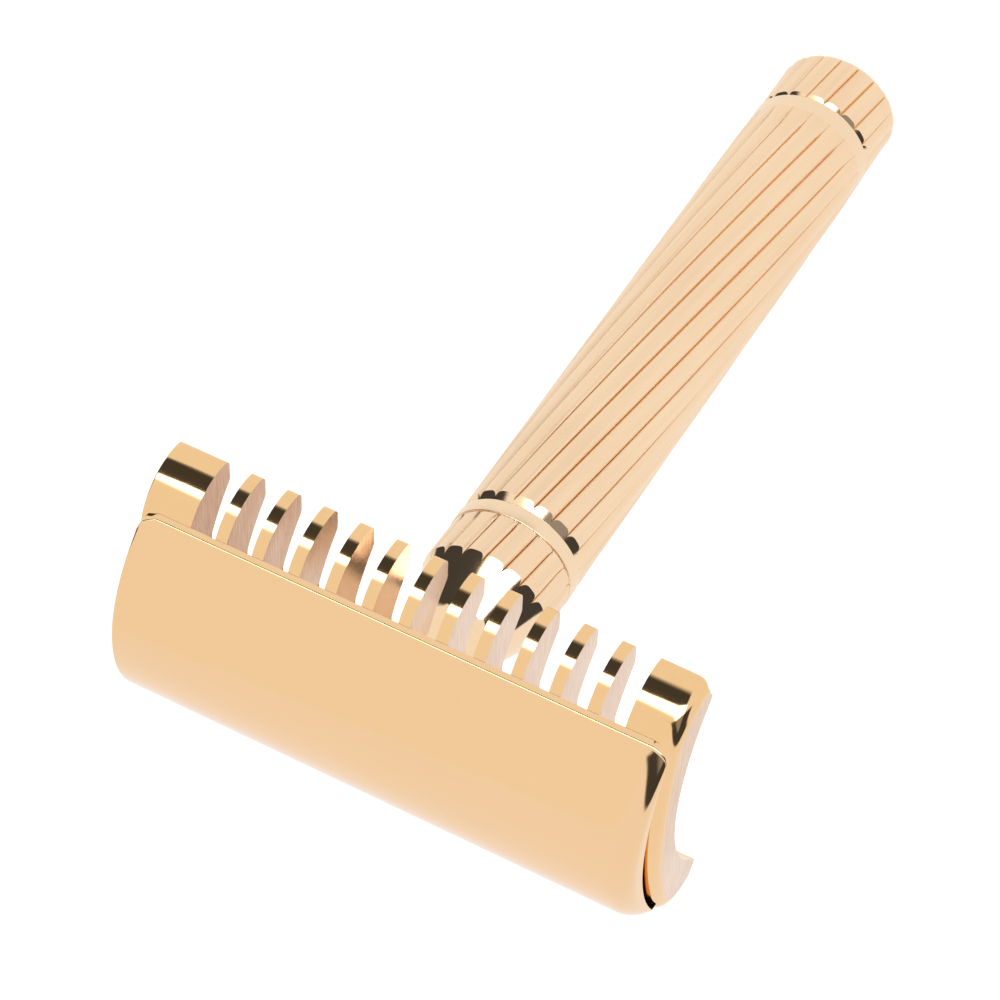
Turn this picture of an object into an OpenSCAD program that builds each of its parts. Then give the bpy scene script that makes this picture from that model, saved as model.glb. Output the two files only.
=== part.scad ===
// Three-piece open-comb double-edge safety razor with a short one-piece handle.
// The foot of the handle stands at z = 0, the handle runs along +Z,
// and the long side of the head lies along X.

/* [Head] */
// Length of the base plate along X, mm
plate_l = 43.6; // [42:0.1:46]
// Length of the cap along X, mm
cap_l = 43.1; // [41.5:0.1:43.6]
// Width of the cap across its two straight edges, mm
cap_w = 20; // [19.4:0.1:20.4]
// Thickness of the cap along its crown, mm
cap_t = 2.3; // [1.6:0.1:2.8]
// Clear height between the base plate and the cap at the middle, mm
seat_gap = 1.6; // [1.2:0.1:2]
// Radius worked onto the end edges of the cap, mm
cap_end_r = 1.6; // [0.4:0.1:1.7]

/* [Comb] */
// Number of narrow teeth on each side
teeth = 11; // [7:2:13]
// Distance from one tooth to the next, mm
tooth_pitch = 3.04; // [2.9:0.01:3.1]
// Width of one narrow tooth, mm
tooth_w = 0.95; // [0.7:0.05:1.4]
// Distance from the middle of the plate to the root of each slot, mm
slot_root = 5.5; // [5:0.1:7.4]

/* [Handle] */
// Diameter of the grip over the flutes, mm
handle_d = 10.5; // [10:0.1:12]
// Height of the shoulder that the base plate sits on, mm
shoulder_h = 71.72; // [66:0.02:90]
// Number of flutes around the handle
flutes = 19; // [14:1:24]
// Depth of one flute, mm
flute_depth = 0.34; // [0.1:0.02:0.5]
// Turn of the flutes along the handle, degrees per mm
flute_turn = 1.5; // [0:0.1:2]
// Length of the fluted end knob, mm
knob_h = 4.8; // [3:0.1:8]

/* [Thread and pins] */
// Outside diameter of the threaded stud, mm
stud_d = 4.8; // [4:0.1:5]
// Length of stud held in the handle, mm
stud_grip = 6.6; // [6.4:0.1:8]
// Diameter of the locating pins, mm
pin_d = 3.2; // [2:0.1:3.4]
// Distance from the stud to each locating pin, mm
pin_x = 12.5; // [8:0.1:15]

/* [Hidden] */

$fn = 96;
eps = 0.01;
fit = 0.06;               // radial clearance of every running fit
touch = 0.02;             // gap left between faces that rest on each other

// base plate section: crown arc, two side arcs and a hollow underside
plate_t = 2.9;
plate_under = shoulder_h + touch;
plate_top = plate_under + plate_t;
crown_r = 31;
crown_z = plate_top - crown_r;
side_r = 4.6;
side_y = 7.65;
side_z = crown_z + sqrt(pow(crown_r - side_r, 2) - side_y * side_y);
plate_half_w = side_y + side_r;
hollow_r = 13.4;
hollow_z = plate_under - hollow_r;
tip_r = 0.7;
tip_z = side_z - 1.5;     // underside of the tooth tips
tip_mid_z = tip_z + tip_r;
tip_out_y = side_y + sqrt(pow(side_r - tip_r, 2) - pow(side_z - tip_mid_z, 2));
tip_in_y = sqrt(pow(hollow_r + tip_r, 2) - pow(tip_mid_z - hollow_z, 2));

// cap section: two arcs meeting at a thin straight lip
lip_h = 0.4;
lip_z = side_z + sqrt(side_r * side_r - pow(cap_w / 2 - side_y, 2)) + touch;
under_top = plate_top + seat_gap;
under_rise = under_top - lip_z;
under_r = (cap_w * cap_w / 4 + under_rise * under_rise) / (2 * under_rise);
cap_top = under_top + cap_t;
cap_rise = cap_top - lip_z - lip_h;
cap_r = (cap_w * cap_w / 4 + cap_rise * cap_rise) / (2 * cap_rise);
cap_corner_r = 0.8;

// handle stations, measured from the foot
knob_r = 5;
knob_edge = 0.6;
groove_w = 0.9;
groove_r = 4.55;
band_end = 7.4;
grip_end = shoulder_h - 17.1;
waist_end = grip_end + 0.9;
ring_end = waist_end + 1.35;
nose_start = ring_end + 3.9;
nose_end = nose_start + 4.3;
grip_r = handle_d / 2;
waist_r = grip_r - 0.6;
neck_r = grip_r - 0.3;
collar_r = 3.5;
nose_r = grip_r + 0.12;
bore_r = stud_d / 2 + fit;
bore_bottom = shoulder_h - stud_grip - 2.4;
core_r = knob_r - flute_depth - 0.4;

stud_bottom = shoulder_h - stud_grip;
stud_top = cap_top - 1;
pin_bottom = plate_under + 0.5;
pin_top = cap_top - 1.1;

module rounded_bar(r, length, edge) {
    // round bar along X whose two end edges carry a radius
    rotate([0, 90, 0])
        rotate_extrude()
            union() {
                translate([0, -length / 2]) square([r - edge, length]);
                translate([0, edge - length / 2]) square([r, length - 2 * edge]);
                for (s = [-1, 1])
                    translate([r - edge, s * (length / 2 - edge)]) circle(edge, $fn = 32);
            }
}

module along_x(length) {
    // stands a section drawn in Y and Z up and runs it along X
    rotate([90, 0, 90])
        translate([0, 0, -length / 2])
            linear_extrude(length) children();
}

function arc_points(center, r, from, to, steps) = [
    for (i = [0 : steps])
        let (a = from + (to - from) * i / steps)
        center + r * [cos(a), sin(a)]
];

module plate_section() {
    // crown arc that runs into a side arc on each side, cut below by the hollow
    bend_y = crown_r * side_y / (crown_r - side_r);
    bend_z = crown_z + sqrt(crown_r * crown_r - bend_y * bend_y);
    lean_out = atan2(tip_mid_z - side_z, tip_out_y - side_y);
    lean_in = atan2(tip_mid_z - hollow_z, tip_in_y);
    // the tips run up into the section by this much, a hair inside its faces
    run_in = 0.2;
    top_z = tip_mid_z + run_in;
    top_in_y = sqrt(hollow_r * hollow_r - pow(top_z - hollow_z, 2)) + 0.04;
    top_out_y = side_y + sqrt(side_r * side_r - pow(side_z - top_z, 2)) - 0.02;
    difference() {
        union() {
            intersection() {
                translate([0, crown_z]) circle(crown_r, $fn = 360);
                translate([-bend_y, tip_mid_z]) square([2 * bend_y, crown_r]);
            }
            for (s = [-1, 1])
                intersection() {
                    translate([s * side_y, side_z]) circle(side_r, $fn = 180);
                    translate([s * (bend_y + plate_half_w) / 2, (bend_z + tip_mid_z) / 2])
                        square([plate_half_w - bend_y + 1, bend_z - tip_mid_z], center = true);
                }
        }
        translate([0, hollow_z]) circle(hollow_r, $fn = 180);
    }
    // tip of a tooth, rounded at both corners
    tip = concat(
        [[top_in_y, top_z]],
        arc_points([tip_in_y, tip_mid_z], tip_r, 180 + lean_in, 270, 5),
        arc_points([tip_out_y, tip_mid_z], tip_r, 270, 360 + lean_out, 8),
        [[top_out_y, top_z]]
    );
    last = len(tip) - 1;
    polygon(tip);
    polygon([for (i = [0 : last]) [-tip[last - i].x, tip[last - i].y]]);
}

module slots() {
    slot_w = tooth_pitch - tooth_w;
    slot_h = plate_top - tip_z + 4;
    for (i = [0 : teeth], s = [-1, 1])
        translate([(i - teeth / 2) * tooth_pitch, s * (slot_root + slot_w / 2), tip_z - 2]) {
            translate([0, s * plate_half_w / 2, slot_h / 2])
                cube([slot_w, plate_half_w, slot_h], center = true);
            cylinder(r = slot_w / 2, h = slot_h);
        }
}

module base_plate() {
    color([0.93, 0.76, 0.52])
        difference() {
            along_x(plate_l)
                plate_section();
            slots();
            translate([0, 0, plate_under - 1]) cylinder(r = bore_r, h = plate_t + 2);
            // flat seat in the hollow for the shoulder of the handle
            translate([0, 0, plate_under - 2]) cylinder(r = collar_r + fit, h = 2);
            for (s = [-1, 1])
                translate([s * pin_x, 0, plate_under - 1])
                    cylinder(r = pin_d / 2 + fit, h = plate_t + 2);
        }
}

module cap() {
    color([0.95, 0.80, 0.60])
        difference() {
            intersection() {
                translate([0, 0, cap_top - cap_r]) rounded_bar(cap_r, cap_l, cap_end_r);
                translate([0, 0, lip_z])
                    linear_extrude(cap_top)
                        union() {
                            square([cap_l - 2 * cap_corner_r, cap_w], center = true);
                            square([cap_l, cap_w - 2 * cap_corner_r], center = true);
                            for (x = [-1, 1], y = [-1, 1])
                                translate([x * (cap_l / 2 - cap_corner_r), y * (cap_w / 2 - cap_corner_r)])
                                    circle(cap_corner_r, $fn = 48);
                        }
            }
            along_x(cap_l + 2)
                translate([0, under_top - under_r]) circle(under_r, $fn = 160);
            translate([0, 0, under_top - 2]) cylinder(r = stud_d / 2, h = stud_top - under_top + 2);
            for (s = [-1, 1])
                translate([s * pin_x, 0, under_top - 2])
                    cylinder(r = pin_d / 2, h = pin_top - under_top + 2);
        }
}

module stud() {
    color([0.88, 0.70, 0.42])
        translate([0, 0, stud_bottom])
            rotate_extrude()
                polygon([
                    [0, 0], [stud_d / 2 - 0.4, 0], [stud_d / 2, 0.4],
                    [stud_d / 2, stud_top - stud_bottom], [0, stud_top - stud_bottom]
                ]);
}

module locating_pins() {
    color([0.88, 0.70, 0.42])
        for (s = [-1, 1])
            translate([s * pin_x, 0, pin_bottom])
                rotate_extrude()
                    polygon([
                        [0, 0], [pin_d / 2 - 0.3, 0], [pin_d / 2, 0.3],
                        [pin_d / 2, pin_top - pin_bottom], [0, pin_top - pin_bottom]
                    ]);
}

// one lobe between two flutes is an arc that stands proud by the flute depth
lobe_steps = 5;
function lobe_rise(t) = 1 - pow(abs(2 * t - 1), 2.6);
function flute_points(r) = [
    for (i = [0 : flutes * lobe_steps - 1])
        let (a = 360 * i / (flutes * lobe_steps), t = (i % lobe_steps) / lobe_steps)
        (r - flute_depth * (1 - lobe_rise(t))) * [cos(a), sin(a)]
];

module fluted(r, z0, z1, grow = 1) {
    // fluted length from z0 to z1, turned so every length lines up with the next
    turn = flute_turn * (z1 - z0);
    translate([0, 0, z0])
        rotate(flute_turn * z0)
            linear_extrude(z1 - z0, twist = -turn, slices = max(2, ceil(turn / 5)), scale = grow)
                polygon(flute_points(r));
}

module handle() {
    color([0.96, 0.82, 0.64])
        difference() {
            union() {
                // end knob with a rounded foot
                intersection() {
                    fluted(grip_r, 0, knob_h);
                    rotate_extrude()
                        union() {
                            square([knob_r - knob_edge, knob_h + 1]);
                            translate([0, knob_edge]) square([knob_r, knob_h + 1]);
                            translate([knob_r - knob_edge, knob_edge]) circle(knob_edge, $fn = 32);
                        }
                }
                // groove and polished band
                rotate_extrude()
                    polygon([
                        [0, 0.5], [core_r, 0.5], [core_r, knob_h - eps], [groove_r, knob_h - eps],
                        [groove_r, knob_h + groove_w - 0.3], [grip_r, knob_h + groove_w],
                        [grip_r, band_end], [core_r, band_end], [core_r, grip_end],
                        [grip_r, grip_end], [waist_r, waist_end - 0.25], [waist_r, waist_end],
                        [0, waist_end]
                    ]);
                fluted(grip_r, band_end, grip_end);
                // polished ring with a full round outside
                translate([0, 0, waist_end])
                    rotate_extrude()
                        union() {
                            square([grip_r - 0.3, ring_end - waist_end]);
                            translate([0, 0.3]) square([grip_r + 0.05, ring_end - waist_end - 0.6]);
                        }
                // fluted neck running out into the polished nose
                intersection() {
                    fluted(neck_r + 0.05, ring_end - eps, nose_end, 1.12);
                    rotate_extrude()
                        polygon([
                            [0, ring_end - eps], [nose_r + 1, ring_end - eps], [nose_r + 1, nose_start - 2.05],
                            [nose_r - 0.1, nose_start + 0.2], [collar_r, nose_end], [0, nose_end]
                        ]);
                }
                translate([0, 0, nose_start]) cylinder(r = collar_r, h = shoulder_h - nose_start);
            }
            translate([0, 0, bore_bottom]) cylinder(r = bore_r, h = shoulder_h - bore_bottom + 1);
        }
}

handle();
base_plate();
cap();
stud();
locating_pins();
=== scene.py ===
"""Looks for a gold-plated open-comb safety razor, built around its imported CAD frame.

Lengths are in millimetres until a mesh is written, which is when MM turns them into metres.
"""

import math

import bmesh
import bpy
from mathutils import Matrix, Vector


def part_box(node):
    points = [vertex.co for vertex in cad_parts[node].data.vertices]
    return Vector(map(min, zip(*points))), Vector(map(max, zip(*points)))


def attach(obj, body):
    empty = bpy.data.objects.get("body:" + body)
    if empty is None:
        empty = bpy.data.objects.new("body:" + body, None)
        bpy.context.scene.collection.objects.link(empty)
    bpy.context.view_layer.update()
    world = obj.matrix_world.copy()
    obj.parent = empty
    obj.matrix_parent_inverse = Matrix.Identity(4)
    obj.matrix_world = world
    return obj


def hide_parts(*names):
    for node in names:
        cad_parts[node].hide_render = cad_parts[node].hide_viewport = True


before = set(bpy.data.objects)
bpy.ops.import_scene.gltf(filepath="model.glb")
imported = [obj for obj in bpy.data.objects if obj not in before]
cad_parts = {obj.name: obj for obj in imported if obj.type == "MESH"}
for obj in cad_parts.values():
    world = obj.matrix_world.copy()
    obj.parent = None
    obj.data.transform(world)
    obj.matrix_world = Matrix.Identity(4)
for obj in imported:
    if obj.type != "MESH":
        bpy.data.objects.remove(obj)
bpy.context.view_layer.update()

MM = 0.001


def corners(node):
    """Lowest and highest corner of a CAD node, in mm."""
    low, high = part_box(node)
    return low / MM, high / MM


_, HANDLE_HIGH = corners("handle")
PLATE_LOW, PLATE_HIGH = corners("base_plate")
CAP_LOW, CAP_HIGH = corners("cap")
STUD_LOW, STUD_HIGH = corners("stud")
PINS_LOW, PINS_HIGH = corners("locating_pins")

# ---------------------------------------------------------------- sizes, mm

SHOULDER = HANDLE_HIGH.z
COLLAR_R = 3.5
BORE_R = 2.46
BORE_DEPTH = 9.0

FLUTES = 19
FLUTE_DEPTH = 0.29
FLUTE_TURN = 1.5  # degrees per mm of height
FLUTE_PHASE = -2.6  # degrees at the foot
FLUTE_SHARPNESS = 5.0
GRIP_R = 5.25
KNOB_R = 5.14
KNOB_EDGE = 0.6
KNOB_END = 5.2
KNOB_SLOPE = 0.75
FOOT_RINGS = (1.2, 2.6, 3.8)  # radii of the rows on the flat of the foot
BAND_START = 5.72
BAND_END = 7.3
BAND_R = 5.2
BAND_EDGE = 0.1
GRIP_END = SHOULDER - 17.12
WAIST_SLOPE = 0.66
WAIST_H = 0.9
WAIST_END = GRIP_END + WAIST_H
RING_END = WAIST_END + 1.37
RING_R = 5.28
RING_EDGE = 0.08
RING_FOOT_R = 0.18
NECK_END = RING_END + 3.95
NECK_R = (5.2, 5.3)  # over the lands, at the ring and at the nose
NOSE_END = NECK_END + 4.2
CHATTER = 0.035
COLLAR_EDGE = 0.15
BORE_EDGE = 0.2

PLATE_L = PLATE_HIGH.x - PLATE_LOW.x
PLATE_TOP = PLATE_HIGH.z
PLATE_T = 2.9
PLATE_HALF_W = PLATE_HIGH.y
TIP_Z = PLATE_LOW.z
CROWN_R = 31.0
SIDE_R = 4.6
TIP_R = 0.7
HOLLOW_R = 13.4
PLATE_END_R = (0.12, 1.1)  # worked onto the end edges at -X and at +X
TEETH = 11
TOOTH_PITCH = 3.04
TOOTH_W = 0.95
SLOT_ROOT = 5.5
PIN_X = 12.5
HOLE_GAP = 0.06
PLATE_EDGE_R = 0.05

CAP_L = CAP_HIGH.x - CAP_LOW.x
CAP_HALF_W = CAP_HIGH.y
CAP_TOP = CAP_HIGH.z
CAP_BOTTOM = CAP_LOW.z
LIP_H = 0.4
CAP_T = 2.3
CAP_END_R = ((0.3, 0.3), (1.7, 1.4))  # along X and in depth, at -X and at +X
CAP_CORNER_R = 1.0
CAP_EDGE_R = 0.2
CAP_END_FLAT = 0.06
THREAD_PITCH = 0.79375
THREAD_DEPTH = 0.36
THREAD_STEPS = 12  # rows for each turn
STUD_NECK = 2.0
POINT_R = 0.001  # a ring this small closes the end of a turned piece
PIN_NOSE = 0.35

SHARP_DEGREES = 32.0

# ---------------------------------------------------------------- mesh helpers


def arc(center, radius, start, end, steps):
    """Points on an arc, angles in degrees from the first axis towards the second."""
    points = []
    for i in range(steps + 1):
        a = math.radians(start + (end - start) * i / steps)
        points.append((center[0] + radius * math.cos(a), center[1] + radius * math.sin(a)))
    return points


def smoothstep(low, high, value):
    t = min(1.0, max(0.0, (value - low) / (high - low)))
    return t * t * (3 - 2 * t)


def round_over(distance_to_end, radius):
    """How far a face sinks this close to an end whose edge carries a radius."""
    if distance_to_end >= radius:
        return 0.0
    reach = radius - max(0.0, distance_to_end)
    return radius - math.sqrt(max(0.0, radius * radius - reach * reach))


def end_sink(x, length, radii):
    """How far a face sinks at x, where the two end edges carry radii[0] at -X and radii[1] at +X."""
    return round_over(length / 2 - abs(x), radii[0] if x < 0 else radii[1])


def end_stations(length, radii, steps, middle):
    """Positions along X that are packed closely over the two rounded end edges."""
    half = length / 2
    ends = []
    for radius in radii:
        turns = [math.pi / 2 * i / steps for i in range(steps + 1)]
        ends.append([half - radius + radius * math.sin(a) for a in turns])
    left = [-x for x in reversed(ends[0])]
    return left + spread(left[-1], ends[1][0], middle)[1:-1] + ends[1]


def spread(start, end, steps):
    return [start + (end - start) * i / steps for i in range(steps + 1)]


def build(name, verts, faces, materials, face_slots=None, sharp_degrees=SHARP_DEGREES):
    """A mesh object in metres with smooth faces and hard edges where the surface turns sharply."""
    mesh = bpy.data.meshes.new(name)
    mesh.from_pydata([Vector(v) * MM for v in verts], [], faces)
    for m in materials:
        mesh.materials.append(m)
    if face_slots:
        for polygon, slot in zip(mesh.polygons, face_slots):
            polygon.material_index = slot
    b = bmesh.new()
    b.from_mesh(mesh)
    bmesh.ops.recalc_face_normals(b, faces=b.faces)
    mark_sharp(b, sharp_degrees)
    b.to_mesh(mesh)
    b.free()
    o = bpy.data.objects.new(name, mesh)
    bpy.context.scene.collection.objects.link(o)
    return o


def mark_sharp(b, degrees):
    limit = math.radians(degrees)
    for f in b.faces:
        f.smooth = True
    for e in b.edges:
        e.smooth = len(e.link_faces) == 2 and e.calc_face_angle() < limit


def ring_faces(rows, columns, first=0):
    """Quads between closed rings of equal length."""
    faces = []
    for r in range(rows - 1):
        a = first + r * columns
        b = a + columns
        for c in range(columns):
            d = (c + 1) % columns
            faces.append((a + c, a + d, b + d, b + c))
    return faces


def soften(o, width, segments=2, degrees=SHARP_DEGREES):
    """A small radius on every hard edge, as polishing leaves it."""
    bevel = o.modifiers.new("edges", "BEVEL")
    bevel.width = width * MM
    bevel.segments = segments
    bevel.limit_method = "ANGLE"
    bevel.angle_limit = math.radians(degrees)
    bevel.harden_normals = False
    bevel.miter_outer = "MITER_ARC"


# ---------------------------------------------------------------- materials


STREAK_SCALE = 1000.0
CLOUD_SCALE = 120.0
FINE_SHARE = 0.6
CLOUD_SHARE = 0.5
TINT_MIDDLE = 0.55
HELIX_AROUND = 9.0
HELIX_ALONG = 90.0
SAW_SLANT = -38.0
SAW_SCALE = (1500.0, 500.0, 9000.0)


class Nodes:
    """Short calls for building a node tree."""

    def __init__(self, tree):
        self.tree = tree
        tree.nodes.clear()

    def add(self, kind, settings=None, **inputs):
        node = self.tree.nodes.new(kind)
        for key, value in (settings or {}).items():
            setattr(node, key, value)
        for key, value in inputs.items():
            self.set(node, key.replace("_", " "), value)
        return node

    def set(self, node, key, value):
        socket = node.inputs[int(key)] if key.isdigit() else node.inputs[key]
        if isinstance(value, bpy.types.NodeSocket):
            self.tree.links.new(value, socket)
        else:
            socket.default_value = value

    def math(self, operation, *values, clamp=False):
        node = self.tree.nodes.new("ShaderNodeMath")
        node.operation = operation
        node.use_clamp = clamp
        for i, value in enumerate(values):
            self.set(node, str(i), value)
        return node.outputs[0]

    def dot(self, vector, axis):
        node = self.tree.nodes.new("ShaderNodeVectorMath")
        node.operation = "DOT_PRODUCT"
        self.set(node, "0", vector)
        self.set(node, "1", tuple(axis))
        return node.outputs["Value"]

    def ramp(self, value, low, high, out_low=0.0, out_high=1.0):
        node = self.tree.nodes.new("ShaderNodeMapRange")
        node.interpolation_type = "SMOOTHSTEP"
        self.set(node, "Value", value)
        self.set(node, "From Min", low)
        self.set(node, "From Max", high)
        self.set(node, "To Min", out_low)
        self.set(node, "To Max", out_high)
        return node.outputs["Result"]

    def mix_color(self, factor, a, b):
        node = self.tree.nodes.new("ShaderNodeMix")
        node.data_type = "RGBA"
        self.set(node, "0", factor)
        for i, value in (("6", a), ("7", b)):
            self.set(node, i, (*value, 1.0) if isinstance(value, tuple) else value)
        return node.outputs[2]


def stretched(n, scale, stretch):
    """Object coordinates scaled apart on each axis, so that a noise turns into streaks."""
    coords = n.add("ShaderNodeTexCoord").outputs["Object"]
    mapping = n.add("ShaderNodeMapping", Vector=coords)
    n.set(mapping, "Scale", tuple(scale * s for s in stretch))
    return mapping.outputs["Vector"]


def gold(name, color, deep, roughness, streaks, bump, vector=None, contrast=1.0, grain=None):
    """Plated gold.

    Its colour drifts between color and deep. Its roughness follows fine streaks, and its height follows
    the same streaks or a grain. Color and deep may each be a function that makes the colour's nodes.
    """
    m = bpy.data.materials.new(name)
    m.use_nodes = True
    n = Nodes(m.node_tree)
    coords = vector(n) if vector else stretched(n, STREAK_SCALE, streaks)
    fine = n.add("ShaderNodeTexNoise", Vector=coords, Scale=1.0, Detail=4.0, Roughness=0.6).outputs["Fac"]
    cloud_coords = stretched(n, CLOUD_SCALE, (1.0, 1.0, 1.0))
    cloud = n.add("ShaderNodeTexNoise", Vector=cloud_coords, Scale=1.0, Detail=2.0).outputs["Fac"]
    tint = n.math("MULTIPLY_ADD", fine, FINE_SHARE, n.math("MULTIPLY", cloud, CLOUD_SHARE))
    tint = n.math("MULTIPLY_ADD", n.math("SUBTRACT", tint, TINT_MIDDLE), contrast, 0.5, clamp=True)
    base = n.mix_color(tint, color(n) if callable(color) else color, deep(n) if callable(deep) else deep)
    low, high = roughness
    shader = n.add("ShaderNodeBsdfPrincipled", Metallic=1.0)
    n.set(shader, "Base Color", base)
    n.set(shader, "Roughness", n.math("MULTIPLY_ADD", fine, high - low, low))
    relief = fine
    if grain:
        grain_coords = stretched(n, grain, (1.0, 1.0, 1.0))
        relief = n.add("ShaderNodeTexNoise", Vector=grain_coords, Scale=1.0).outputs["Fac"]
    height = n.add("ShaderNodeBump", Strength=1.0, Distance=bump * MM, Height=relief)
    n.set(shader, "Normal", height.outputs["Normal"])
    n.add("ShaderNodeOutputMaterial", Surface=shader.outputs["BSDF"])
    return m


def helix_vector(n):
    """Coordinates that follow the flutes, so that a noise turns into long streaks along each land."""
    coords = n.add("ShaderNodeTexCoord").outputs["Object"]
    split = n.add("ShaderNodeSeparateXYZ", Vector=coords)
    x, y, z = split.outputs[0], split.outputs[1], split.outputs[2]
    angle = n.math("ARCTAN2", y, x)
    twist = math.radians(FLUTE_TURN) / MM
    along = n.math("MULTIPLY_ADD", z, -twist, angle)
    out = n.add("ShaderNodeCombineXYZ")
    n.set(out, "0", n.math("MULTIPLY", n.math("SINE", along), HELIX_AROUND))
    n.set(out, "1", n.math("MULTIPLY", n.math("COSINE", along), HELIX_AROUND))
    n.set(out, "2", n.math("MULTIPLY", z, HELIX_ALONG))
    return out.outputs[0]


def saw_vector(n):
    """Coordinates for the slanted marks a slitting saw leaves on the flanks of the teeth."""
    coords = n.add("ShaderNodeTexCoord").outputs["Object"]
    mapping = n.add("ShaderNodeMapping", Vector=coords)
    n.set(mapping, "Rotation", (math.radians(SAW_SLANT), 0.0, 0.0))
    n.set(mapping, "Scale", SAW_SCALE)
    return mapping.outputs["Vector"]


def along_axis(axis, start, end, first, last):
    """A colour that changes from first to last between two places, in mm, on an axis of the object."""

    def color(n):
        coords = n.add("ShaderNodeTexCoord").outputs["Object"]
        place = n.add("ShaderNodeSeparateXYZ", Vector=coords).outputs["XYZ".index(axis)]
        return n.mix_color(n.ramp(place, start * MM, end * MM), first, last)

    return color


# painted shade: the flanks of the teeth are painted darker towards -X, near the handle, and the valleys of
# the flutes are painted darker than the lands, more so towards the nose
LAND_LIGHT = (1.0, 0.77, 0.53)
LAND_DEEP = (0.92, 0.64, 0.40)
FLANK_LIGHT_WITH_SHADE = along_axis("X", -16, 0, (0.74, 0.46, 0.30), (0.88, 0.68, 0.54))
FLANK_DEEP_WITH_SHADE = along_axis("X", -16, 0, (0.48, 0.25, 0.12), (0.74, 0.50, 0.34))
SHADED_VALLEY_LIGHT = along_axis("Z", 20, 60, (0.88, 0.58, 0.34), (0.55, 0.31, 0.14))
SHADED_VALLEY_DEEP = along_axis("Z", 20, 60, (0.74, 0.44, 0.23), (0.36, 0.19, 0.08))

EVEN = (1.0, 1.0, 1.0)
MIRROR_LIGHT = (0.895, 0.60, 0.33)
MIRROR_DEEP = (0.87, 0.575, 0.305)
MIRROR = gold("gold_mirror", MIRROR_LIGHT, MIRROR_DEEP, (0.05, 0.09), (0.25, 1.0, 1.0), 0.0006)
POLISH = gold("gold_polish", (0.89, 0.60, 0.31), (0.87, 0.55, 0.26), (0.06, 0.12), EVEN, 0.001)
# sawn satin gold, with painted shade that deepens towards -X
FLANK = gold("gold_sawn_painted_shade", FLANK_LIGHT_WITH_SHADE, FLANK_DEEP_WITH_SHADE, (0.14, 0.3), None, 0.010, vector=saw_vector, contrast=2.5)
LAND = gold(
    "gold_satin",
    LAND_LIGHT,
    LAND_DEEP,
    (0.22, 0.36),
    None,
    0.012,
    vector=helix_vector,
    contrast=1.2,
    grain=7000.0,
)
# painted shade: a darker gold that stands in for the shade in the bottoms of the flutes
SHADED_VALLEY = gold("gold_valley_painted_shade", SHADED_VALLEY_LIGHT, SHADED_VALLEY_DEEP, (0.3, 0.45), EVEN, 0.004)
TURNED = gold("gold_turned", (0.97, 0.75, 0.52), (0.92, 0.68, 0.45), (0.18, 0.3), (0.3, 0.3, 14.0), 0.003)
NOSE = gold("gold_nose", (0.95, 0.72, 0.47), (0.90, 0.64, 0.39), (0.05, 0.1), (0.6, 0.6, 3.0), 0.002)
THREAD = gold("gold_thread", (0.86, 0.58, 0.28), (0.78, 0.48, 0.20), (0.16, 0.3), (1.0, 1.0, 4.0), 0.003)

# ---------------------------------------------------------------- handle

# places across one lobe, packed at the valley so that its V stays sharp
HALF_LOBE = (0.0, 0.01, 0.025, 0.045, 0.07, 0.1, 0.14, 0.2, 0.3)
LOBE_STEPS = [*HALF_LOBE, 0.5, *(1 - t for t in reversed(HALF_LOBE[1:]))]
COLUMNS = [(360.0 * (k + t) / FLUTES, t) for k in range(FLUTES) for t in LOBE_STEPS]


def land(t):
    """1 on top of a lobe and 0 at the bottom of the valley beside it."""
    return 1 - abs(2 * t - 1) ** FLUTE_SHARPNESS


def fluted_r(radius, t, depth=FLUTE_DEPTH):
    return radius - depth * (1 - land(t))


def column_point(column, z, r):
    a = math.radians(COLUMNS[column][0] + FLUTE_TURN * z + FLUTE_PHASE)
    return (r * math.cos(a), r * math.sin(a), z)


def plain_row(z, r):
    return [column_point(c, z, r) for c in range(len(COLUMNS))]


def fluted_row(z, radius, depth=FLUTE_DEPTH):
    return [column_point(c, z, fluted_r(radius, t, depth)) for c, (_, t) in enumerate(COLUMNS)]


def meeting_row(start_z, start_r, slope, radius_at):
    """The row where flutes run into a cone that starts at start_r on start_z and falls by slope per mm."""
    row = []
    for c, (_, t) in enumerate(COLUMNS):
        z = start_z
        for _ in range(4):
            z = start_z + (start_r - fluted_r(radius_at(z), t)) / slope
        row.append(column_point(c, z, fluted_r(radius_at(z), t)))
    return row


def neck_radius(z):
    share = (z - RING_END) / (NECK_END - RING_END)
    return NECK_R[0] + (NECK_R[1] - NECK_R[0]) * share


LAND_SLOT, TURNED_SLOT, NOSE_SLOT, SHADED_VALLEY_SLOT = range(4)
VALLEY_SHARE = 0.02  # of a lobe's width, on each side of the bottom of a flute
RUN_IN = 2.2
GRIP_ROWS = 110
NECK_ROWS = 38


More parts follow.
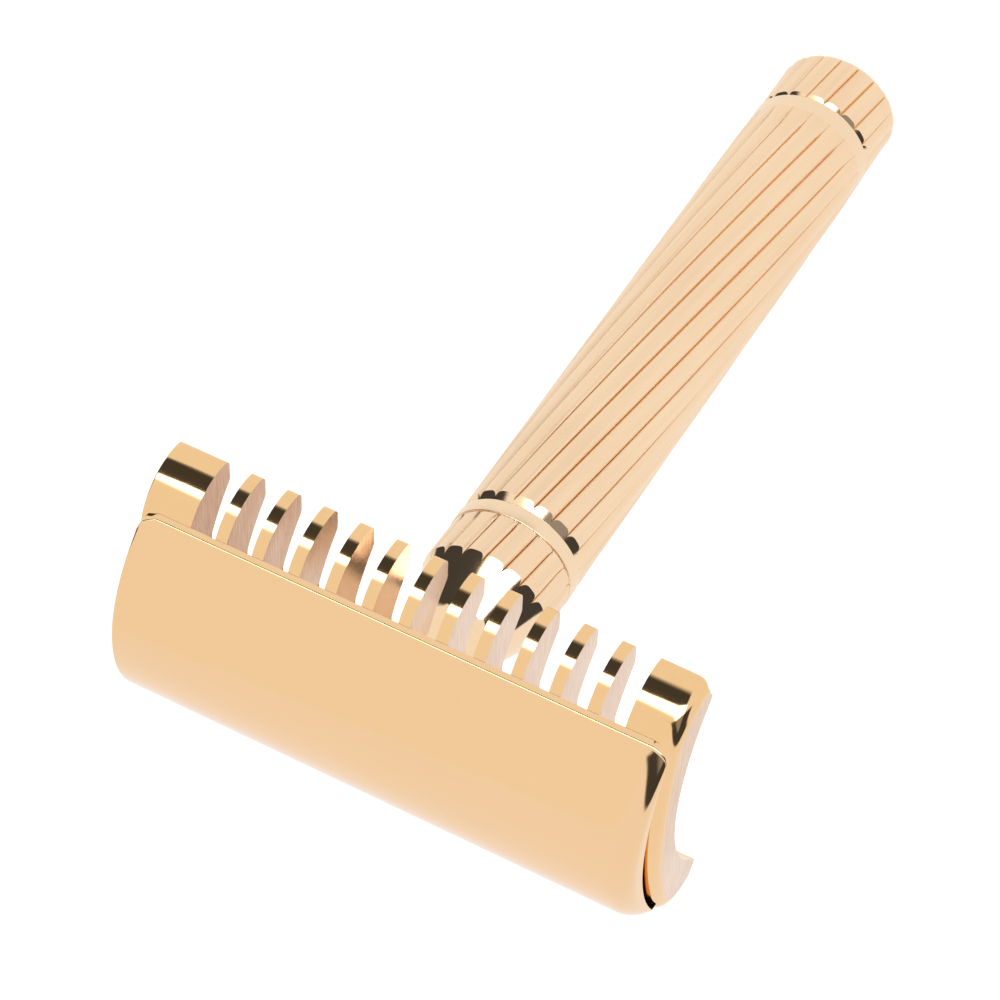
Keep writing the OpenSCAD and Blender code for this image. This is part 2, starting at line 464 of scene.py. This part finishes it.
def handle_rows():
    """Rows from the middle of the foot up to the shoulder and down the bore, each with its material slot."""
    rows = []

    def add(row, slot):
        rows.append((row, slot))

    # foot, with a rounded rim that runs into the flutes of the knob
    for r in FOOT_RINGS:
        add(plain_row(0.0, r), TURNED_SLOT)
    for r, z in arc((KNOB_R - KNOB_EDGE, KNOB_EDGE), KNOB_EDGE, -90, -6, 10):
        depth = FLUTE_DEPTH * smoothstep(0.0, KNOB_EDGE, z)
        add(fluted_row(z, r, depth), TURNED_SLOT if z < 0.05 else LAND_SLOT)
    for z in spread(KNOB_EDGE + 0.25, KNOB_END - 0.45, 12):
        add(fluted_row(z, KNOB_R), LAND_SLOT)
    # chamfer of the knob, groove and lip of the polished band
    add(meeting_row(KNOB_END, KNOB_R, KNOB_SLOPE, lambda z: KNOB_R), NOSE_SLOT)
    for drop in spread(0.42, 0.5, 3):
        add(plain_row(KNOB_END + drop, KNOB_R - KNOB_SLOPE * drop), NOSE_SLOT)
    for r, z in arc((BAND_R - BAND_EDGE, BAND_START + BAND_EDGE), BAND_EDGE, -90, 0, 4):
        add(plain_row(z, r), TURNED_SLOT)
    for z in spread(BAND_START + 0.3, BAND_END - 0.3, 4):
        add(plain_row(z, BAND_R), TURNED_SLOT)
    # flutes of the grip, which run in over a few millimetres
    for z in spread(BAND_END - BAND_EDGE, BAND_END + RUN_IN, 16):
        share = min(1.0, (z - BAND_END + BAND_EDGE) / RUN_IN)
        radius = BAND_R + (GRIP_R - BAND_R) * share
        add(fluted_row(z, radius, FLUTE_DEPTH * share), LAND_SLOT)
    for z in spread(BAND_END + RUN_IN + 0.3, GRIP_END - 0.5, GRIP_ROWS):
        add(fluted_row(z, GRIP_R), LAND_SLOT)
    # waist chamfer and its root
    add(meeting_row(GRIP_END, GRIP_R, WAIST_SLOPE, lambda z: GRIP_R), NOSE_SLOT)
    for drop in spread(0.5, WAIST_H, 4):
        add(plain_row(GRIP_END + drop, GRIP_R - WAIST_SLOPE * drop), NOSE_SLOT)
    # ring with rounded edges
    for r, z in arc((RING_R - RING_FOOT_R, WAIST_END + RING_FOOT_R), RING_FOOT_R, -80, 0, 6):
        add(plain_row(z, r), TURNED_SLOT)
    for r, z in arc((RING_R - RING_EDGE, RING_END - RING_EDGE), RING_EDGE, 0, 90, 4):
        add(plain_row(z, r), TURNED_SLOT)
    # neck, with chatter left by the cutter in its valleys
    for i, z in enumerate(spread(RING_END + 0.02, NECK_END - 0.45, NECK_ROWS)):
        chatter = CHATTER if i % 2 else 0.0
        depth = (FLUTE_DEPTH - chatter) * smoothstep(-0.4, 0.8, z - RING_END)
        add(fluted_row(z, neck_radius(z), depth), LAND_SLOT)
    # nose: a polished cone that cuts the flutes in scallops, then the straight collar
    nose_slope = (NECK_R[1] - COLLAR_R) / (NOSE_END - NECK_END)
    add(meeting_row(NECK_END, NECK_R[1], nose_slope, neck_radius), NOSE_SLOT)
    for z in spread(NECK_END + 0.85, NOSE_END - 0.4, 10):
        add(plain_row(z, NECK_R[1] - nose_slope * (z - NECK_END)), NOSE_SLOT)
    for z in spread(NOSE_END, SHOULDER - COLLAR_EDGE, 8):
        add(plain_row(z, COLLAR_R), NOSE_SLOT)
    add(plain_row(SHOULDER, COLLAR_R - COLLAR_EDGE), TURNED_SLOT)
    add(plain_row(SHOULDER, BORE_R + BORE_EDGE), TURNED_SLOT)
    add(plain_row(SHOULDER - BORE_EDGE, BORE_R), TURNED_SLOT)
    add(plain_row(SHOULDER - BORE_DEPTH, BORE_R), TURNED_SLOT)
    return rows


def make_handle():
    rows = handle_rows()
    columns = len(COLUMNS)
    verts = [p for row, _ in rows for p in row]
    faces = ring_faces(len(rows), columns)
    slots = []
    for i in range(len(faces)):
        slot = rows[i // columns][1]
        t = COLUMNS[i % columns][1]
        # faces at the bottom of a flute take the valley material, which is painted shade
        in_valley = slot == LAND_SLOT and min(t, 1 - t) < VALLEY_SHARE
        slots.append(SHADED_VALLEY_SLOT if in_valley else slot)
    # the first row closes on the middle of the foot, the last one on the bottom of the bore
    for row, z in ((0, 0.0), (len(rows) - 1, SHOULDER - BORE_DEPTH)):
        middle = len(verts)
        verts.append((0.0, 0.0, z))
        for c in range(columns):
            faces.append((row * columns + c, row * columns + (c + 1) % columns, middle))
            slots.append(TURNED_SLOT)
    o = build("fluted_handle", verts, faces, [LAND, TURNED, NOSE, SHADED_VALLEY], slots, sharp_degrees=24.0)
    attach(o, "handle")
    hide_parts("handle")
    return o


# ---------------------------------------------------------------- base plate

CROWN_Z = PLATE_TOP - CROWN_R
SIDE_Y = PLATE_HALF_W - SIDE_R
SIDE_Z = CROWN_Z + math.sqrt((CROWN_R - SIDE_R) ** 2 - SIDE_Y**2)
HOLLOW_Z = PLATE_TOP - PLATE_T - HOLLOW_R
BEND_A = math.asin(SIDE_Y / (CROWN_R - SIDE_R))
TIP_MID_Z = TIP_Z + TIP_R
TIP_OUT_A = math.pi / 2 - math.asin((TIP_MID_Z - SIDE_Z) / (SIDE_R - TIP_R))
TIP_IN_Y = math.sqrt((HOLLOW_R + TIP_R) ** 2 - (TIP_MID_Z - HOLLOW_Z) ** 2)
SLOT_R = (TOOTH_PITCH - TOOTH_W) / 2
SLOT_STEPS = 16
POLISH_SLOT, FLANK_SLOT = range(2)


def outer_curve(a, sink=0.0):
    """Point (y, z) on the outside of the plate where its normal leans a radians from up, sunk by sink."""
    if a <= BEND_A:
        r = CROWN_R - sink
        return r * math.sin(a), CROWN_Z + r * math.cos(a)
    r = SIDE_R - sink
    return SIDE_Y + r * math.sin(a), SIDE_Z + r * math.cos(a)


def hollow_point(y):
    return y, HOLLOW_Z + math.sqrt(HOLLOW_R**2 - y * y)


def angle_at(y):
    """Lean of the outside at a distance y from the middle."""
    a = math.asin(min(1.0, y / CROWN_R))
    if a <= BEND_A:
        return a
    return math.asin(min(1.0, (y - SIDE_Y) / SIDE_R))


def tooth_profile(sink, steps=26, tip_steps=8):
    """Matched outer and inner points of a tooth, from the slot root line to the flat of its tip."""
    start_y = SLOT_ROOT + SLOT_R
    start_a = angle_at(start_y)
    outer = []
    for i in range(1, steps + 1):
        a = start_a + (TIP_OUT_A - start_a) * i / steps
        outer.append(outer_curve(a, sink))
    tip_r = max(0.05, TIP_R - sink)
    reach = SIDE_R - sink - tip_r
    center = (SIDE_Y + reach * math.sin(TIP_OUT_A), SIDE_Z + reach * math.cos(TIP_OUT_A))
    outer += arc(center, tip_r, 90 - math.degrees(TIP_OUT_A), -90, tip_steps)[1:]
    touch_a = math.atan2(HOLLOW_Z - TIP_MID_Z, -TIP_IN_Y)
    touch_y = TIP_IN_Y + TIP_R * math.cos(touch_a)
    inner = [hollow_point(start_y + (touch_y - start_y) * i / steps) for i in range(1, steps + 1)]
    inner += arc((TIP_IN_Y, TIP_MID_Z), TIP_R, math.degrees(touch_a), -90, tip_steps)[1:]
    return outer, inner


def root_y(x):
    """Edge of the uncut middle at x: round where a slot ends, and a straight line through the teeth."""
    edge = SLOT_ROOT + SLOT_R
    for k in range(TEETH + 1):
        d = abs(x - (k - TEETH / 2) * TOOTH_PITCH)
        if d < SLOT_R:
            return edge - math.sqrt(SLOT_R**2 - d * d)
    return edge


def plate_stations():
    """Positions along X, and for each one whether a tooth or end block covers the step to the next."""
    xs = []
    solid = []
    first_slot = -TEETH / 2 * TOOTH_PITCH - SLOT_R
    ends = end_stations(PLATE_L, PLATE_END_R, 8, 20)
    for x in [x for x in ends if x < first_slot - 0.05]:
        xs.append(x)
        solid.append(True)
    for k in range(TEETH + 1):
        center = (k - TEETH / 2) * TOOTH_PITCH
        for i in range(SLOT_STEPS):
            xs.append(center - SLOT_R * math.cos(math.pi * i / SLOT_STEPS))
            solid.append(False)
        xs.append(center + SLOT_R)
        solid.append(True)
        if k < TEETH:
            for i in (1, 2, 3):
                xs.append(center + SLOT_R + TOOTH_W * i / 4)
                solid.append(True)
    for x in [x for x in ends if x > 0.05 - first_slot]:
        xs.append(x)
        solid.append(True)
    return xs, solid


def make_plate():
    xs, solid = plate_stations()
    middle_steps = 24
    verts, faces, slots = [], [], []
    index = {}

    def point(key, position):
        if key not in index:
            index[key] = len(verts)
            verts.append(position)
        return index[key]

    def middle_points(i):
        x = xs[i]
        sink = end_sink(x, PLATE_L, PLATE_END_R)
        edge = root_y(x)
        top, under = [], []
        for k in range(-middle_steps, middle_steps + 1):
            y = edge * k / middle_steps
            sign = -1 if y < 0 else 1
            py, pz = outer_curve(angle_at(abs(y)), sink)
            top.append(point(("top", i, k), (x, sign * py, pz)))
            hy, hz = hollow_point(abs(y))
            under.append(point(("under", i, k), (x, sign * hy, hz)))
        return top, under

    def tooth_points(i, side):
        x = xs[i]
        sink = end_sink(x, PLATE_L, PLATE_END_R)
        outer, inner = tooth_profile(sink)
        root = side * middle_steps
        out = [point(("top", i, root), None)]
        inn = [point(("under", i, root), None)]
        for k, (o, n) in enumerate(zip(outer, inner)):
            out.append(point(("outer", i, side, k), (x, side * o[0], o[1])))
            inn.append(point(("inner", i, side, k), (x, side * n[0], n[1])))
        return out, inn

    def strip(a, b, slot):
        for k in range(len(a) - 1):
            faces.append((a[k], a[k + 1], b[k + 1], b[k]))
            slots.append(slot)

    rows = [middle_points(i) for i in range(len(xs))]
    for i in range(len(xs) - 1):
        strip(rows[i][0], rows[i + 1][0], POLISH_SLOT)
        strip(rows[i][1], rows[i + 1][1], POLISH_SLOT)
    last = len(xs) - 1
    strip(rows[0][0], rows[0][1], FLANK_SLOT)
    strip(rows[last][0], rows[last][1], FLANK_SLOT)
    for side in (-1, 1):
        root = (side + 1) // 2 * 2 * middle_steps
        for i in range(last):
            if solid[i]:
                a_out, a_in = tooth_points(i, side)
                b_out, b_in = tooth_points(i + 1, side)
                strip(a_out, b_out, POLISH_SLOT)
                strip(a_in, b_in, POLISH_SLOT)
                faces.append((a_out[-1], b_out[-1], b_in[-1], a_in[-1]))
                slots.append(POLISH_SLOT)
                if i == 0 or not solid[i - 1]:
                    strip(a_out, a_in, FLANK_SLOT)
                if i + 1 == last or not solid[i + 1]:
                    strip(b_out, b_in, FLANK_SLOT)
            else:
                a, b = rows[i], rows[i + 1]
                faces.append((a[0][root], b[0][root], b[1][root], a[1][root]))
                slots.append(FLANK_SLOT)
    o = build("comb_plate", verts, faces, [POLISH, FLANK], slots)
    drill_plate(o)
    soften(o, PLATE_EDGE_R)
    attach(o, "plate")
    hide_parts("base_plate")
    return o


def drill_plate(o):
    """Centre hole, the flat seat of the shoulder under it, and the two pin holes."""
    pin_r = (PINS_HIGH.y - PINS_LOW.y) / 2 + HOLE_GAP
    below = SHOULDER - 3
    drills = [
        (0.0, BORE_R, below, PLATE_TOP + 1),
        (0.0, COLLAR_R + HOLE_GAP, below, SHOULDER + 0.02),
        (PIN_X, pin_r, below, PLATE_TOP + 1),
        (-PIN_X, pin_r, below, PLATE_TOP + 1),
    ]
    for x, r, low, high in drills:
        cutter = cylinder("cutter", x, r, low, high)
        cut = o.modifiers.new("cut", "BOOLEAN")
        cut.operation = "DIFFERENCE"
        cut.solver = "EXACT"
        cut.object = cutter
        bake(o)
        bpy.data.objects.remove(cutter)
    b = bmesh.new()
    b.from_mesh(o.data)
    mark_sharp(b, SHARP_DEGREES)
    b.to_mesh(o.data)
    b.free()


def cylinder(name, x, r, low, high, segments=64):
    verts = []
    for z in (low, high):
        for i in range(segments):
            a = 2 * math.pi * i / segments
            verts.append((x + r * math.cos(a), r * math.sin(a), z))
    faces = ring_faces(2, segments)
    faces.append(tuple(range(segments)))
    faces.append(tuple(range(segments, 2 * segments)))
    return build(name, verts, faces, [FLANK])


def bake(o):
    """Replaces the mesh by what its modifiers make of it."""
    bpy.context.view_layer.update()
    depsgraph = bpy.context.evaluated_depsgraph_get()
    mesh = bpy.data.meshes.new_from_object(o.evaluated_get(depsgraph))
    o.modifiers.clear()
    o.data = mesh


# ---------------------------------------------------------------- cap


def chord_radius(half_width, rise):
    return (half_width**2 + rise**2) / (2 * rise)


def cap_end(share, thickness, radii):
    """Distance from the end plane and sink of a face, share of the way round an end this thick."""
    along, depth = radii
    last = math.acos(max(0.0, 1 - (thickness - CAP_END_FLAT) / depth))
    a = last * share
    return along * (1 - math.sin(a)), depth * (1 - math.cos(a))


def cap_stations(steps, middle):
    """Pairs of a signed end (-1 or 1, 0 between them) and a share from 0 to 1, from -X to +X."""
    left = [(-1, 1 - i / steps) for i in range(steps + 1)]
    between = [(0, i / middle) for i in range(1, middle)]
    right = [(1, i / steps) for i in range(steps + 1)]
    return left + between + right


def make_cap():
    """Arched cap: outer arc, straight lips, shallow arched underside and rounded ends."""
    half = CAP_L / 2
    outer_r = chord_radius(CAP_HALF_W, CAP_TOP - CAP_BOTTOM - LIP_H)
    outer_z = CAP_TOP - outer_r
    under_top = CAP_TOP - CAP_T
    under_r = chord_radius(CAP_HALF_W, under_top - CAP_BOTTOM)
    under_z = under_top - under_r
    start, end = CAP_END_R[0][0] - half, half - CAP_END_R[1][0]
    steps = 72
    edge_steps = 6

    def place(end_sign, share, y):
        """X and the two heights of the cap at one station and one distance from the middle."""
        top = outer_z + math.sqrt(outer_r**2 - y * y)
        under = under_z + math.sqrt(under_r**2 - y * y)
        if end_sign == 0:
            return start + (end - start) * share, top, under
        to_end, sink = cap_end(share, top - under, CAP_END_R[(end_sign + 1) // 2])
        return end_sign * (half - to_end), top - sink, under

    rows = []
    for end_sign, share in cap_stations(14, 48):
        width = CAP_HALF_W
        if end_sign:
            lip_x = abs(place(end_sign, share, CAP_HALF_W)[0])
            lip_end = abs(place(end_sign, 1.0, CAP_HALF_W)[0])
            width -= round_over(lip_end - lip_x, CAP_CORNER_R)
        outer, inner = [], []
        for k in range(-steps, steps + 1):
            y = (width - CAP_EDGE_R) * k / steps
            x, top, _ = place(end_sign, share, y)
            outer.append((x, y, top))
            y = width * k / steps
            x, _, under = place(end_sign, share, y)
            inner.append((x, y, min(under, top)))
        lip_x, _, lip_top = outer[-1]
        side = arc((width - CAP_EDGE_R, lip_top - CAP_EDGE_R), CAP_EDGE_R, 62, 0, edge_steps)
        side = [(y, max(z, CAP_BOTTOM + 0.05)) for y, z in side] + [(width, CAP_BOTTOM + 0.03)]
        right = [(lip_x, y, z) for y, z in side]
        left = [(lip_x, -y, z) for y, z in reversed(side)]
        rows.append((outer + right + list(reversed(inner)) + left, len(outer), len(right)))
    columns = len(rows[0][0])
    verts = [p for row, _, _ in rows for p in row]
    faces = ring_faces(len(rows), columns)
    count, side_count = rows[0][1], rows[0][2]
    for first in (0, (len(rows) - 1) * columns):
        inner_start = first + count + side_count
        for k in range(count - 1):
            a, b = first + k, first + k + 1
            c, d = inner_start + count - 2 - k, inner_start + count - 1 - k
            faces.append((a, b, c, d))
        right_lip = range(first + count - 1, first + count + side_count + 1)
        left_lip = range(inner_start + count, first + columns)
        faces.append(tuple(right_lip))
        faces.append((first, inner_start + count - 1, *left_lip))
    o = build("arched_cap", verts, faces, [MIRROR], sharp_degrees=38.0)
    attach(o, "cap")
    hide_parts("cap")
    return o


# ---------------------------------------------------------------- stud and pins


def make_stud():
    """Stud with a helical V thread below a plain neck where it enters the cap."""
    radius = STUD_HIGH.x
    segments = 64
    thread_end = STUD_HIGH.z - STUD_NECK
    step = THREAD_PITCH / THREAD_STEPS
    count = int((thread_end - STUD_LOW.z) / step)
    rows = [[(POINT_R * math.cos(a), POINT_R * math.sin(a), STUD_LOW.z) for a in angles(segments)]]
    for i in range(count + 1):
        z = STUD_LOW.z + step * i
        fade = min(1.0, 0.4 + (z - STUD_LOW.z) / 0.8)
        row = []
        for a in angles(segments):
            turn = (z / THREAD_PITCH - a / (2 * math.pi)) % 1.0
            crest = min(1.0, 1.25 * abs(2 * turn - 1))
            r = radius * fade - THREAD_DEPTH * (1 - crest)
            row.append((r * math.cos(a), r * math.sin(a), z))
        rows.append(row)
    for z in (thread_end + 0.2, STUD_HIGH.z):
        rows.append([(radius * math.cos(a), radius * math.sin(a), z) for a in angles(segments)])
    rows.append([(POINT_R * math.cos(a), POINT_R * math.sin(a), STUD_HIGH.z) for a in angles(segments)])
    verts = [p for row in rows for p in row]
    o = build("threaded_stud", verts, ring_faces(len(rows), segments), [THREAD], sharp_degrees=60.0)
    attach(o, "cap")
    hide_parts("stud")
    return o


def angles(segments):
    return [2 * math.pi * i / segments for i in range(segments)]


def make_pins():
    """Two pins with rounded noses, as one piece of two solids."""
    radius = (PINS_HIGH.y - PINS_LOW.y) / 2
    segments = 48
    profile = [(POINT_R, PINS_LOW.z)]
    profile += arc((radius - PIN_NOSE, PINS_LOW.z + PIN_NOSE), PIN_NOSE, -90, 0, 8)
    profile += [(radius, PINS_HIGH.z), (POINT_R, PINS_HIGH.z)]
    verts, faces = [], []
    for x in (-PIN_X, PIN_X):
        first = len(verts)
        for r, z in profile:
            verts += [(x + r * math.cos(a), r * math.sin(a), z) for a in angles(segments)]
        faces += ring_faces(len(profile), segments, first)
    o = build("guide_pins", verts, faces, [THREAD])
    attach(o, "cap")
    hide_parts("locating_pins")
    return o


# ---------------------------------------------------------------- camera, floor and light

# The camera looks down on the razor from +Y, 310 mm from the middle of the handle. Its place and its
# axes were worked out by fitting a camera to points measured on the object.
CAMERA_AT = Vector((85.235, 233.694, 225.224))
CAMERA_RIGHT = Vector((0.87424, 0.02743, -0.48472)).normalized()
CAMERA_BACK = Vector((0.29183, 0.76820, 0.56982)).normalized()
CAMERA_UP = CAMERA_BACK.cross(CAMERA_RIGHT).normalized()
FOCAL_LENGTH = 144.0
SENSOR = 36.0


def make_camera():
    data = bpy.data.cameras.new("camera")
    data.lens = FOCAL_LENGTH
    data.sensor_width = SENSOR
    data.sensor_fit = "HORIZONTAL"
    data.clip_start = 0.01
    data.clip_end = 20.0
    camera = bpy.data.objects.new("camera", data)
    right = CAMERA_UP.cross(CAMERA_BACK)
    rotation = Matrix((right, CAMERA_UP, CAMERA_BACK)).transposed()
    camera.matrix_world = Matrix.Translation(CAMERA_AT * MM) @ rotation.to_4x4()
    bpy.context.scene.collection.objects.link(camera)
    bpy.context.scene.camera = camera


FLOOR_HALF = 4000.0
FLOOR_COLOR = (0.96, 0.96, 0.96)
FLOOR_GLOW = 0.35


def make_floor():
    """A pale floor that glows a little. Mirror rays pass through it, so metal shows only the studio."""
    size = FLOOR_HALF
    verts = [(-size, -size, 0.0), (size, -size, 0.0), (size, size, 0.0), (-size, size, 0.0)]
    m = bpy.data.materials.new("studio_floor")
    m.use_nodes = True
    n = Nodes(m.node_tree)
    matte = n.add("ShaderNodeBsdfDiffuse", Color=(*FLOOR_COLOR, 1.0))
    lift = n.add("ShaderNodeEmission", Strength=FLOOR_GLOW)
    pale = n.add("ShaderNodeAddShader")
    n.set(pale, "0", matte.outputs[0])
    n.set(pale, "1", lift.outputs[0])
    clear = n.add("ShaderNodeBsdfTransparent")
    path = n.add("ShaderNodeLightPath")
    mix = n.add("ShaderNodeMixShader")
    n.set(mix, "0", path.outputs["Is Glossy Ray"])
    n.set(mix, "1", pale.outputs[0])
    n.set(mix, "2", clear.outputs[0])
    n.add("ShaderNodeOutputMaterial", Surface=mix.outputs[0])
    floor = build("floor", verts, [(0, 1, 2, 3)], [m])


TENT = 1.0
HOT = 4.5
DARK = 0.06
CARD_EDGE = Vector((-0.909, 0.396, -0.128))
CARD_TINT = (1.0, 1.015, 1.09)
CARD_SOFT = 0.02

# Patches of the studio, in degrees. Pitch runs up and side runs across, both from the direction that
# looks back at the camera. Two numbers are a fade, and three are low end, high end and softness.
BAND_TILT = 0.3
HOT_FADE_IN = (-8, 2)
HOT_FADE_OUT = (29.5, 32.5)
HOT_SIDE = (-60, 34, 3)
STRIP_BAND = (31, 66, 1.5)
STRIP_SIDE = (-34, 30, 3)
LEFT_PITCH = (42, 150, 4)
LEFT_SIDE = (-80, -26, 3)
RIGHT_TILT = 0.85
RIGHT_FADE_IN = (-25, -19)
RIGHT_SIDE = (-40, 66, 3)
RIGHT_PITCH = (-100, 3, 3)
GROUND_FADE = (-0.45, -0.25)  # height of a direction of length 1


def make_world():
    """A white light tent seen in the mirror faces, with one hot strip and dark gaps beside it."""
    world = bpy.data.worlds.new("studio")
    bpy.context.scene.world = world
    world.use_nodes = True
    n = Nodes(world.node_tree)
    direction = n.add("ShaderNodeTexCoord").outputs["Generated"]
    right = n.dot(direction, CAMERA_RIGHT)
    up = n.dot(direction, CAMERA_UP)
    height = n.dot(direction, (0.0, 0.0, 1.0))
    back = n.dot(direction, CAMERA_BACK)
    to_degrees = 180 / math.pi
    pitch = n.math("MULTIPLY", n.math("ARCTAN2", up, back), to_degrees)
    side = n.math("MULTIPLY", n.math("ARCSINE", right), to_degrees)
    band = n.math("MULTIPLY_ADD", side, BAND_TILT, pitch)

    def between(value, low, high, soft):
        rise = n.ramp(value, low - soft, low + soft)
        fall = n.ramp(value, high - soft, high + soft, 1.0, 0.0)
        return n.math("MULTIPLY", rise, fall)

    slant = n.math("ADD", pitch, side)
    hot = n.math("MULTIPLY", n.ramp(slant, *HOT_FADE_IN), n.ramp(band, *HOT_FADE_OUT, 1.0, 0.0))
    hot = n.math("MULTIPLY", hot, between(side, *HOT_SIDE))
    dark_strip = n.math("MULTIPLY", between(band, *STRIP_BAND), between(side, *STRIP_SIDE))
    dark_left = n.math("MULTIPLY", between(pitch, *LEFT_PITCH), between(side, *LEFT_SIDE))
    tilted = n.math("MULTIPLY_ADD", pitch, RIGHT_TILT, side)
    dark_right = n.math("MULTIPLY", n.ramp(tilted, *RIGHT_FADE_IN), between(side, *RIGHT_SIDE))
    dark_right = n.math("MULTIPLY", dark_right, between(pitch, *RIGHT_PITCH))
    dark = n.math("MAXIMUM", dark_right, n.math("MAXIMUM", dark_strip, dark_left))
    # the straight sides of the handle mirror only the ground, which is kept plain
    above = n.ramp(height, *GROUND_FADE)
    dark = n.math("MULTIPLY", dark, above)
    hot = n.math("MULTIPLY", hot, above)
    level = n.math("MULTIPLY_ADD", hot, HOT, TENT)
    level = n.math("MULTIPLY", level, n.math("MULTIPLY_ADD", dark, DARK - 1.0, 1.0))
    # a cool card overhead, which the far slope of the cap mirrors
    card = n.ramp(n.dot(direction, CARD_EDGE), 0.0, CARD_SOFT, 1.0, 0.0)
    overhead = n.math("MULTIPLY", card, above)
    tint = n.mix_color(overhead, (1.0, 1.0, 1.0), CARD_TINT)
    background = n.add("ShaderNodeBackground", Color=tint)
    n.set(background, "Strength", level)
    n.add("ShaderNodeOutputWorld", Surface=background.outputs[0])


make_handle()
make_plate()
make_cap()
make_stud()
make_pins()
make_camera()
make_floor()
make_world()
bpy.context.scene.view_settings.view_transform = "Standard"
